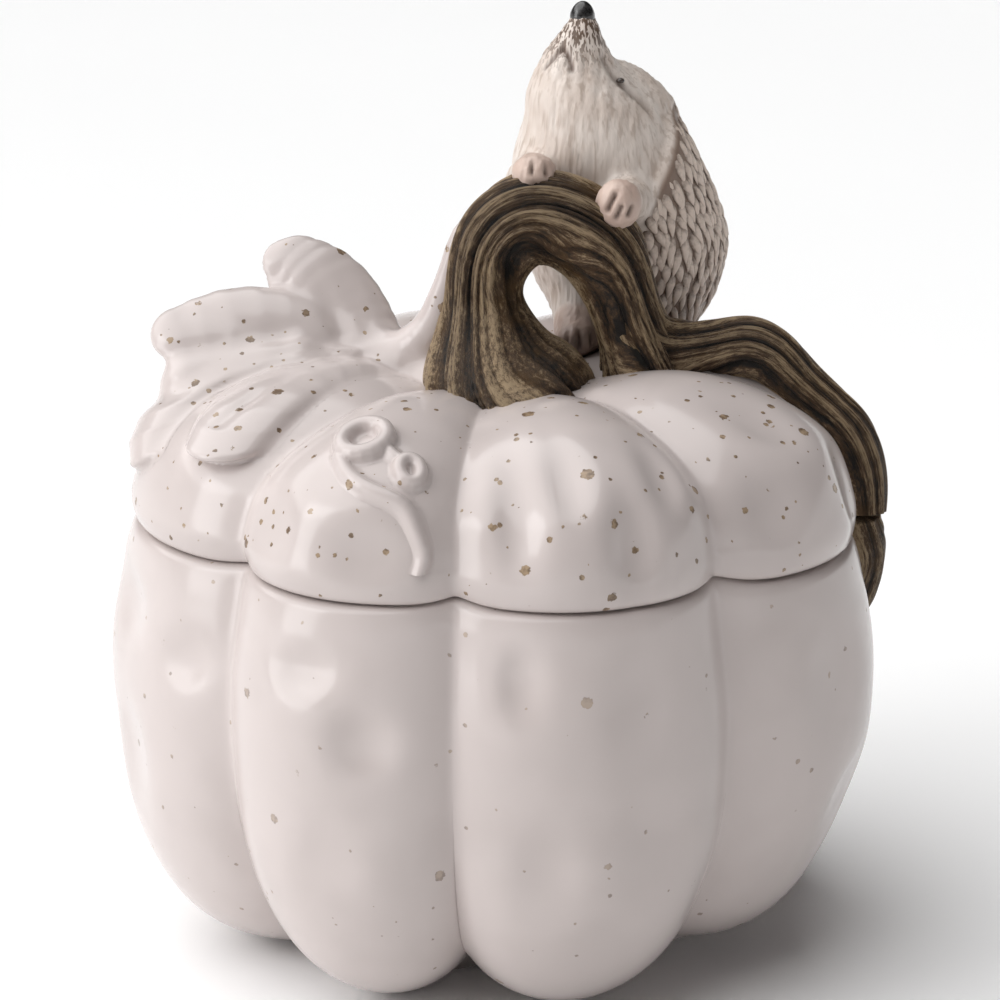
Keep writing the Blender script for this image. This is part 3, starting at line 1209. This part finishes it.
def black_material(name, colour, lighter):
    paint = Paint(name, IOR=1.5, Coat_Weight=0.5, Coat_Roughness=0.08)
    grain = paint.noise(1.4)
    tint = paint.mix(paint.between(grain, 0.4, 0.75), colour, lighter)
    roughness = paint.math("MULTIPLY_ADD", grain, 0.2, 0.18)
    return paint.finish(tint, Roughness=roughness, Normal=paint.bump(grain, 0.15, 0.6))


def clay_material():
    """Bare fired clay of the locating ring."""
    paint = Paint("bare_clay", IOR=1.45)
    grain = paint.noise(0.5, detail=4.0)
    tint = paint.mix(paint.between(paint.noise(9.0), 0.35, 0.65), CLAY_LIGHT, CLAY_SHADE)
    roughness = paint.math("MULTIPLY_ADD", grain, 0.15, 0.75)
    return paint.finish(tint, Roughness=roughness, Normal=paint.bump(grain, 0.06, 0.8))


def paper_material():
    paint = Paint("floor_paper", Roughness=0.9)
    return paint.finish(paint.mix(paint.noise(400.0, detail=1.0), PAPER_SHADE, PAPER_LIGHT))


# --- putting it together ---------------------------------------------------------------------------------
def install(piece, material, body, slot, *nodes):
    """Gives a piece its material and its place in the frame."""
    piece.data.materials.append(material)
    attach(piece, body)
    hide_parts(*nodes)


def install_all():
    jar_glaze = glaze_material("jar_glaze", 0.25, 0.6)
    lid_glaze = glaze_material("lid_glaze", 0.8, 0.95)
    stem_glaze = stem_material()
    nose_glaze = black_material("nose_glaze", *NOSE_COLOURS)
    eye_glaze = black_material("eye_glaze", *EYE_COLOURS)
    install(make_jar(), jar_glaze, JAR_BODY, "speckled_glaze", "jar_shell")
    install(make_jar_tail(), stem_glaze, JAR_BODY, "stem_brown", "jar_vine_tail")
    install(make_lid_shell(), lid_glaze, LID_BODY, "speckled_glaze", "lid_shell")
    install(make_locating_ring(), clay_material(), LID_BODY, "bare_clay", "lid_locating_ring")
    install(make_stem(), stem_glaze, LID_BODY, "stem_brown", "stem")
    install(make_vine(), stem_glaze, LID_BODY, "stem_brown", "vine")
    install(make_leaf(), lid_glaze, LID_BODY, "speckled_glaze",
            "leaf_rear_lobe", "leaf_left_lobe", "leaf_side_lobe", "leaf_front_lobe", "stem_stalk")
    install(make_tendril(), lid_glaze, LID_BODY, "speckled_glaze",
            "tendril_large_curl", "tendril_small_curl", "tendril_tail")
    install(make_hedgehog_body(), fur_material(), LID_BODY, "hedgehog_fur",
            "hedgehog_torso", "hedgehog_head", "hedgehog_ear_left", "hedgehog_ear_right",
            "hedgehog_forepaw_left", "hedgehog_forepaw_right", "hedgehog_hind_foot_left",
            "hedgehog_hind_foot_right")
    install(make_quills(), quill_material(), LID_BODY, "hedgehog_quills", "hedgehog_quill_coat")
    nose = make_bead("hedgehog_nose_bead", NOSE_CENTRE, (3.5, 3.5, 3.4), squeeze=-0.25, seed=61)
    install(nose, nose_glaze, LID_BODY, "nose_black", "hedgehog_nose")
    for side, turn in EYE_TURNS:
        centre = body_point(FACE_AZIMUTH + turn, EYE_HEIGHT)
        eye = make_bead("eye_bead_" + side, centre, EYE_SIZE, squeeze=0.0, seed=62)
        install(eye, eye_glaze, LID_BODY, "eye_black", "hedgehog_eye_" + side)


# --- floor, light and camera, in metres ------------------------------------------------------------------
def make_floor():
    """Round sheet of studio paper that curves up far away on every side."""
    flat_radius, rise, sides = 6.5, 1.4, 96
    bend = np.linspace(0.0, math.pi / 2.0, 10)
    radii = flat_radius + rise * np.sin(bend)
    heights = rise * (1.0 - np.cos(bend))
    around = headings(np.linspace(0.0, 360.0, sides, endpoint=False))
    rings = [np.column_stack([around * radius, np.full(sides, z)]) for radius, z in zip(radii, heights)]
    faces = [tuple(range(sides))] + [face[::-1] for face in grid_faces(len(rings), sides)]
    mesh = bpy.data.meshes.new("floor")
    mesh.from_pydata(np.concatenate(rings).tolist(), [], faces)
    mesh.materials.append(paper_material())
    add_object("floor", mesh)


def add_light(name, kind, direction, position=(0.0, 0.0, 0.0), **settings):
    """Light that shines along a direction."""
    data = bpy.data.lights.new(name, kind)
    for label, value in settings.items():
        setattr(data, label, value)
    light = add_object(name, data)
    light.location = position
    light.rotation_euler = Vector(direction).to_track_quat("-Z", "Y").to_euler()


def light_scene():
    """A very soft overhead diffuser, a large window on the left and a trace of light from all round."""
    add_light("overhead", "SUN", (0.48, -0.05, -1.0), angle=math.radians(85.0), energy=3.3)
    window, toward = Vector((-1.45, -0.62, 0.62)), Vector((0.0, 0.0, 0.11))
    add_light("key_left", "AREA", toward - window, window,
              shape="RECTANGLE", size=0.8, size_y=1.2, energy=12.0)
    world = bpy.data.worlds.new("studio")
    world.use_nodes = True
    bpy.context.scene.world = world
    background = world.node_tree.nodes["Background"]
    background.inputs["Color"].default_value = (1.0, 0.99, 0.985, 1.0)
    background.inputs["Strength"].default_value = 0.05


def make_camera():
    """Camera in front of the jar, a little above it, with a long lens."""
    distance, elevation = 1.0, math.radians(16.6)
    target = Vector((0.0002, 0.0, 0.1235))
    data = bpy.data.cameras.new("camera")
    data.lens = 127.4
    data.sensor_width = 36.0
    camera = add_object("camera", data)
    camera.location = target + distance * Vector((0.0, -math.cos(elevation), math.sin(elevation)))
    camera.rotation_euler = (target - camera.location).to_track_quat("-Z", "Y").to_euler()
    bpy.context.scene.camera = camera


install_all()
make_floor()
light_scene()
make_camera()
bpy.context.scene.view_settings.view_transform = "Standard"
